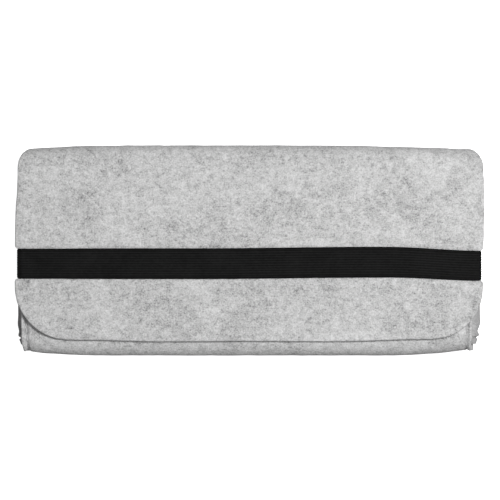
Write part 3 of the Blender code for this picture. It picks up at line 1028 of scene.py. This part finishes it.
def felt_material(name, painted_shade_factor):
    """Light grey needle felt: pale and dark fibres, soft clouds and short stray hairs. A painted shade factor
    below 1 darkens every grey of it as painted shade.
    """
    nodes = Nodes(name)
    place = nodes.place()
    clouds = nodes.noise(place, scale=75.0, detail=3.0, roughness=0.55)
    clumps = nodes.noise(place, scale=420.0, roughness=0.55, distortion=0.6)
    grain = nodes.noise(place, scale=1700.0, roughness=0.65, distortion=0.4)
    turned = nodes.add("Mapping", {"Vector": place, "Scale": (1.0, 3.2, 1.0), "Rotation": (0, 0, 0.6)})
    streaks = nodes.noise(turned.outputs[0], scale=260.0, distortion=1.5)
    level = nodes.weighted([(clouds, 0.20), (clumps, 0.27), (grain, 0.48), (streaks, 0.16)])
    # The painted shade factor scales every grey: below 1 it paints a shaded copy of the felt.
    base = nodes.ramp(level, [(at, grey * painted_shade_factor) for at, grey in FELT_LEVELS])
    hairs = hair_lines(nodes, place)
    inputs = {"Factor": hairs, MIX_A: base, MIX_B: (0.20, 0.20, 0.20, 1.0)}
    nodes.join(nodes.add("Mix", inputs, data_type="RGBA").outputs[MIX_RESULT], "Base Color")
    nodes.set(Roughness=0.95, Specular_IOR_Level=0.15, Sheen_Weight=0.25, Sheen_Roughness=0.6)
    fuzz = nodes.noise(place, scale=2600.0, roughness=0.6, distortion=0.8)
    height = nodes.weighted([(clumps, 0.9), (grain, 0.6), (fuzz, 0.25)])
    nodes.bump(height, strength=0.55, distance=0.45 * MM)
    return nodes.material


def hair_lines(nodes, place):
    """Thin curved dark hairs: narrow level lines of a smooth noise, broken up by a second one."""
    found = None
    for scale, turn in ((95.0, 0.0), (140.0, 1.1)):
        inputs = {"Vector": place, "Rotation": (turn, turn, turn), "Location": (turn, 0, 0)}
        turned = nodes.add("Mapping", inputs).outputs[0]
        line = nodes.noise(turned, scale, detail=1.0, roughness=0.4, distortion=2.5)
        line = nodes.math("ABSOLUTE", nodes.math("SUBTRACT", line, 0.5))
        line = nodes.ramp(line, [(0.0, 1.0), (0.006, 0.0)])
        breaks = nodes.noise(turned, scale * 3.1, detail=1.0)
        breaks = nodes.ramp(breaks, [(0.54, 0.0), (0.60, 1.0)])
        hair = nodes.math("MULTIPLY", line, breaks)
        found = hair if found is None else nodes.math("MAXIMUM", found, hair)
    return nodes.math("MULTIPLY", found, 0.45)


def elastic_material():
    """Black woven elastic: ribs along its length with fine cross threads between them. Its rib crowns are
    painted lighter and its grooves darker: painted highlight and painted shade.
    """
    nodes = Nodes("elastic_weave")
    place = nodes.place()
    split = nodes.add("SeparateXYZ", {0: place})
    along = nodes.math("ADD", split.outputs[0], split.outputs[2])
    share = nodes.add("Attribute", attribute_name="strap_share").outputs["Fac"]
    weft = nodes.math("SINE", nodes.math("MULTIPLY", along, 2 * math.pi / (0.55 * MM)))
    # rib varies across the ribs: in the colour it paints the rib crowns lighter and the grooves darker, as
    # painted highlight and painted shade.
    rib = nodes.math("COSINE", nodes.math("MULTIPLY", share, math.pi * STRAP_RIBS))
    rib = nodes.math("MULTIPLY", rib, -1.0)
    weave = nodes.math("MULTIPLY", weft, rib)
    edge = nodes.math("POWER", nodes.math("ABSOLUTE", share), 9.0)
    fleck = nodes.noise(place, scale=900.0)
    clouds = nodes.noise(place, scale=120.0)
    level = nodes.weighted([(rib, 0.14), (weave, 0.08), (fleck, 0.55), (clouds, 0.40), (edge, -0.35)])
    nodes.join(nodes.ramp(level, [(0.22, 0.0010), (0.78, 0.0105)]), "Base Color")
    nodes.set(Roughness=0.75, Specular_IOR_Level=0.12, Sheen_Weight=0.015)
    nodes.bump(nodes.weighted([(weave, 0.5), (fleck, 0.5)]), strength=0.5, distance=0.12 * MM)
    return nodes.material


def thread_material(name, dark, light):
    """Twisted sewing thread."""
    nodes = Nodes(name)
    inputs = {"Vector": nodes.place(), "Scale": 900.0, "Distortion": 1.5}
    twist = nodes.add("TexWave", inputs, bands_direction="DIAGONAL").outputs["Fac"]
    nodes.join(nodes.ramp(twist, [(0.2, dark), (0.8, light)]), "Base Color")
    nodes.set(Roughness=0.65)
    nodes.bump(twist, strength=0.4, distance=0.1 * MM)
    return nodes.material


# Studio


def white_surface(name, points, faces):
    """A plain pale surface that shows white and adds no light of its own to the case."""
    mesh = bpy.data.meshes.new(name)
    mesh.from_pydata(points, [], faces)
    obj = bpy.data.objects.new(name, mesh)
    bpy.context.scene.collection.objects.link(obj)
    nodes = Nodes(name)
    nodes.set(Base_Color=(0.9, 0.9, 0.9, 1.0), Roughness=0.8, Specular_IOR_Level=0.0)
    nodes.set(Emission_Color=(1.0, 1.0, 1.0, 1.0), Emission_Strength=0.95)
    mesh.materials.append(nodes.material)
    obj.visible_diffuse = False
    obj.visible_glossy = False


def studio():
    """A white floor with a low white wall round it, soft light from the upper right and pale surroundings."""
    reach, floor_z, wall_height, corners = 6.0, -0.4 * MM, 3.0, 64
    turns = np.linspace(0, 2 * math.pi, corners + 1)[:-1]
    ring = [(reach * math.cos(turn), reach * math.sin(turn)) for turn in turns]
    low = [(x, y, floor_z) for x, y in ring]
    high = [(x, y, wall_height) for x, y in ring]
    sides = []
    for i in range(corners):
        j = (i + 1) % corners
        sides.append((i, j, corners + j, corners + i))
    white_surface("studio_floor", low, [tuple(range(corners))])
    white_surface("studio_wall", low + high, sides)
    area_light("key", place=(0.34, 0.16, 1.0), size=0.24, power=10.5)
    area_light("fill", place=(0.20, -0.60, 0.95), size=0.8, power=1.7)
    world = bpy.data.worlds.new("studio_world")
    world.use_nodes = True
    background = world.node_tree.nodes["Background"]
    background.inputs["Color"].default_value = (1.0, 1.0, 1.0, 1.0)
    background.inputs["Strength"].default_value = 0.20
    bpy.context.scene.world = world
    bpy.context.scene.view_settings.view_transform = "Standard"
    bpy.context.scene.view_settings.look = "None"


def area_light(name, place, size, power):
    """A square light that faces the middle of the case."""
    data = bpy.data.lights.new(name, "AREA")
    data.size = size
    data.energy = power
    lamp = bpy.data.objects.new(name, data)
    lamp.location = place
    lamp.rotation_mode = "QUATERNION"
    lamp.rotation_quaternion = (-lamp.location).to_track_quat("-Z", "Y")
    lamp.visible_camera = False
    bpy.context.scene.collection.objects.link(lamp)


def camera():
    """Straight above the closed case, with its top fold up in the picture."""
    view_width = 0.200
    distance = 2.5
    data = bpy.data.cameras.new("camera")
    data.sensor_width = 36.0
    data.lens = data.sensor_width * distance / view_width
    data.clip_start = 0.05
    data.clip_end = 20.0
    eye = bpy.data.objects.new("camera", data)
    eye.location = (0.0, 0.0, distance + UPPER_Z)
    bpy.context.scene.collection.objects.link(eye)
    bpy.context.scene.camera = eye


def main():
    felt = felt_material("felt_fibres", 1.0)
    # The sides get the same felt darkened to 0.74: painted shade standing in for the shade the gussets lie
    # in.
    shaded_side_felt = felt_material("painted_shade_side_felt", 0.74)
    elastic = elastic_material()
    thread = thread_material("felt_thread", 0.40, 0.52)
    black_thread = thread_material("black_thread", 0.010, 0.022)
    pouch_blank(felt)
    fold_blank(felt)
    flap_blank(felt)
    for side in SIGNS:
        gusset(side, shaded_side_felt)
        seam_stitches(side, thread)
        strap_tack(side, black_thread)
    strap(elastic)
    studio()
    camera()


main()
